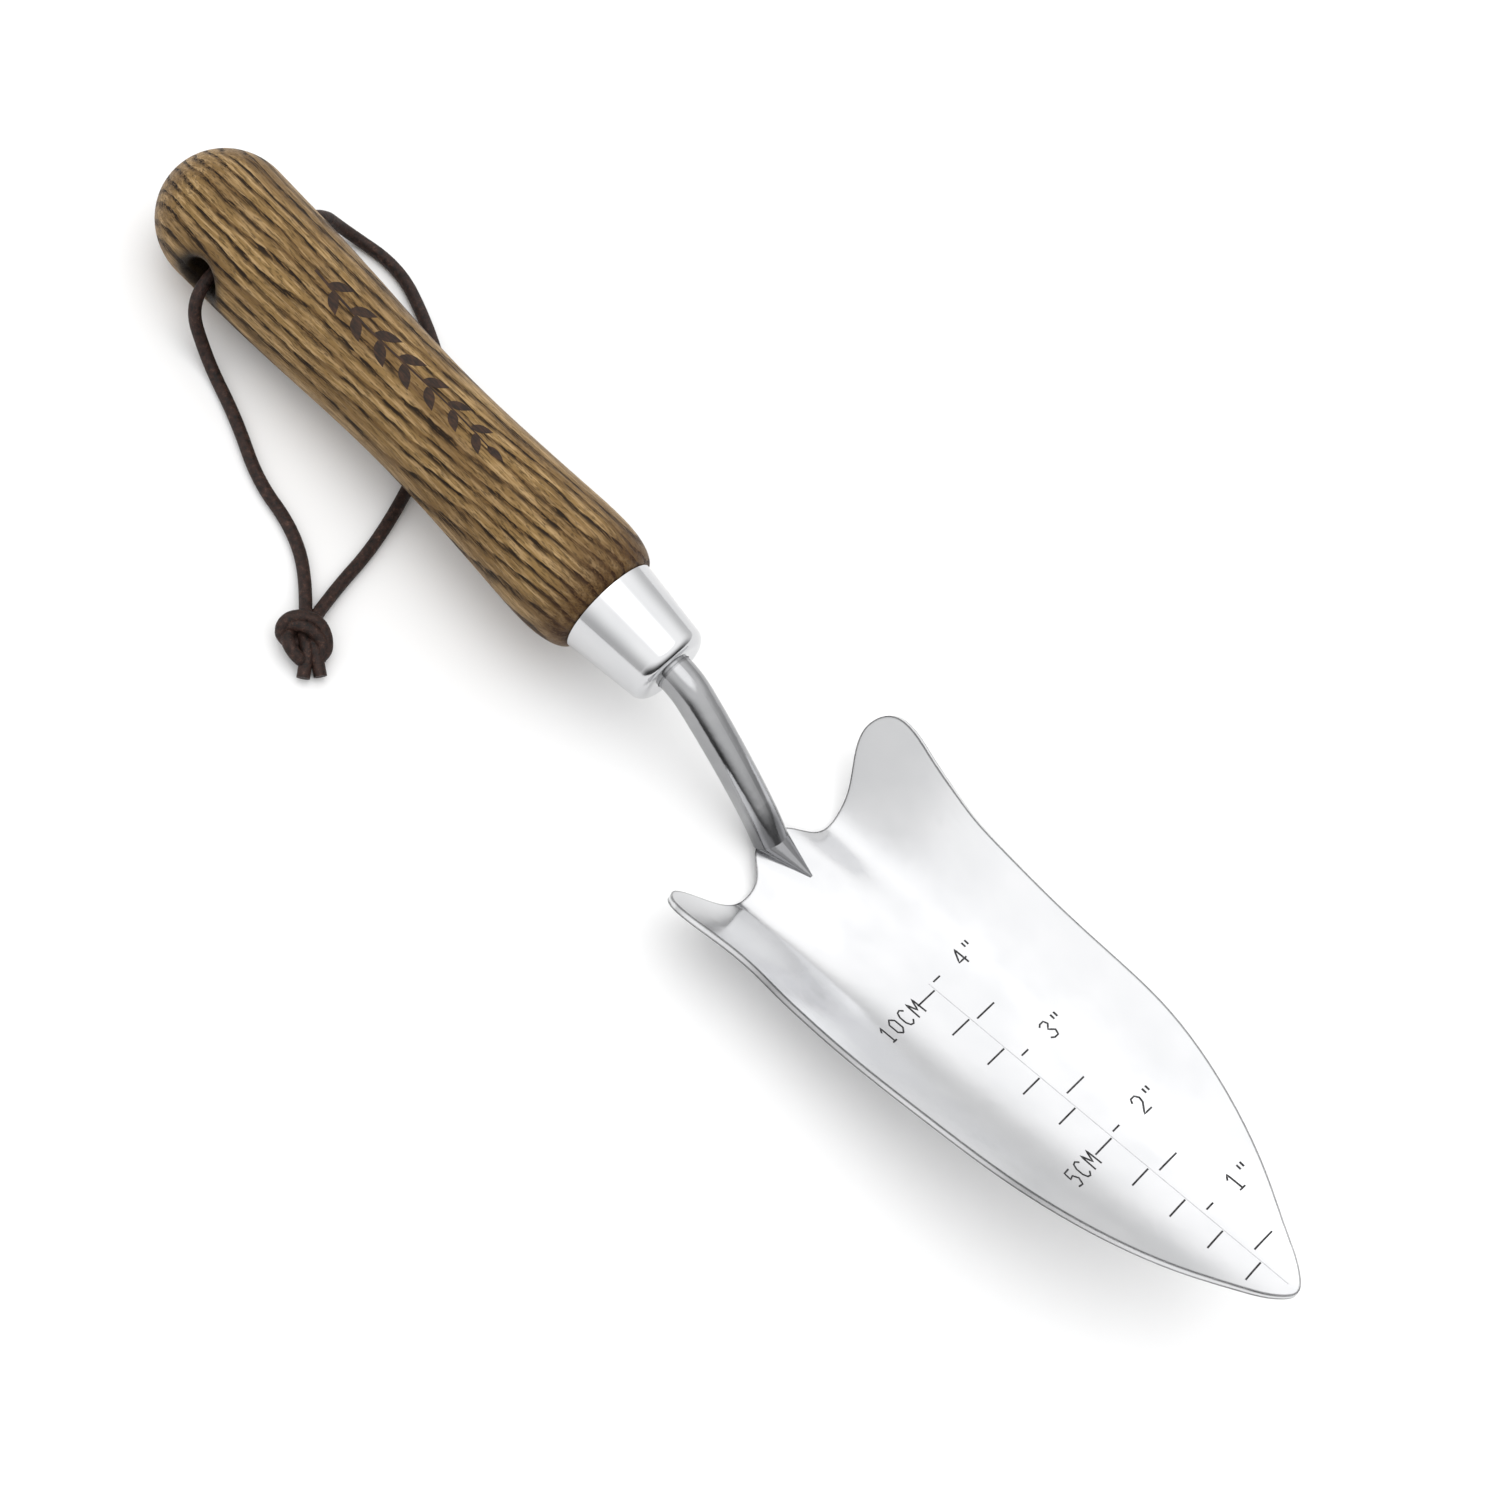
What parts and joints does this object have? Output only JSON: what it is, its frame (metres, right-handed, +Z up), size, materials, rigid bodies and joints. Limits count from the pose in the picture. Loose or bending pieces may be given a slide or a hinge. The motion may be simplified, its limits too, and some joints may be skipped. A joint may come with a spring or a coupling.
{
  "type": "hand trowel",
  "caption": "Hand trowel with a turned wooden handle, a tapered steel ferrule, a bent steel neck, a troughed steel blade with a depth ruler, and a knotted leather hanging loop.",
  "frame": {"origin": "middle of the trowel's footprint on the surface it rests on, under the centre of its bounding box without the leather loop", "axes": "+Y towards the blade's tip, +Z up out of the blade's hollow side, +X across the blade"},
  "size_m": [0.0951, 0.3478, 0.0386],
  "materials": {
    "stained_ash": "open-grained ash, stained brown and oiled",
    "polished_steel": "polished stainless steel",
    "blade_steel": "pressed stainless sheet, mirror polished, engraved ruler",
    "cured_glue": "cured epoxy, hidden in the handle's bore",
    "brown_leather": "round-cut dark brown leather"
  },
  "bodies": {
    "root": {"handle": "stained_ash", "ferrule": "polished_steel", "neck_rod": "polished_steel", "tang_glue": "cured_glue", "blade": "blade_steel", "lanyard_thong": "brown_leather", "lanyard_knot": "brown_leather"}
  },
  "joints": []
}
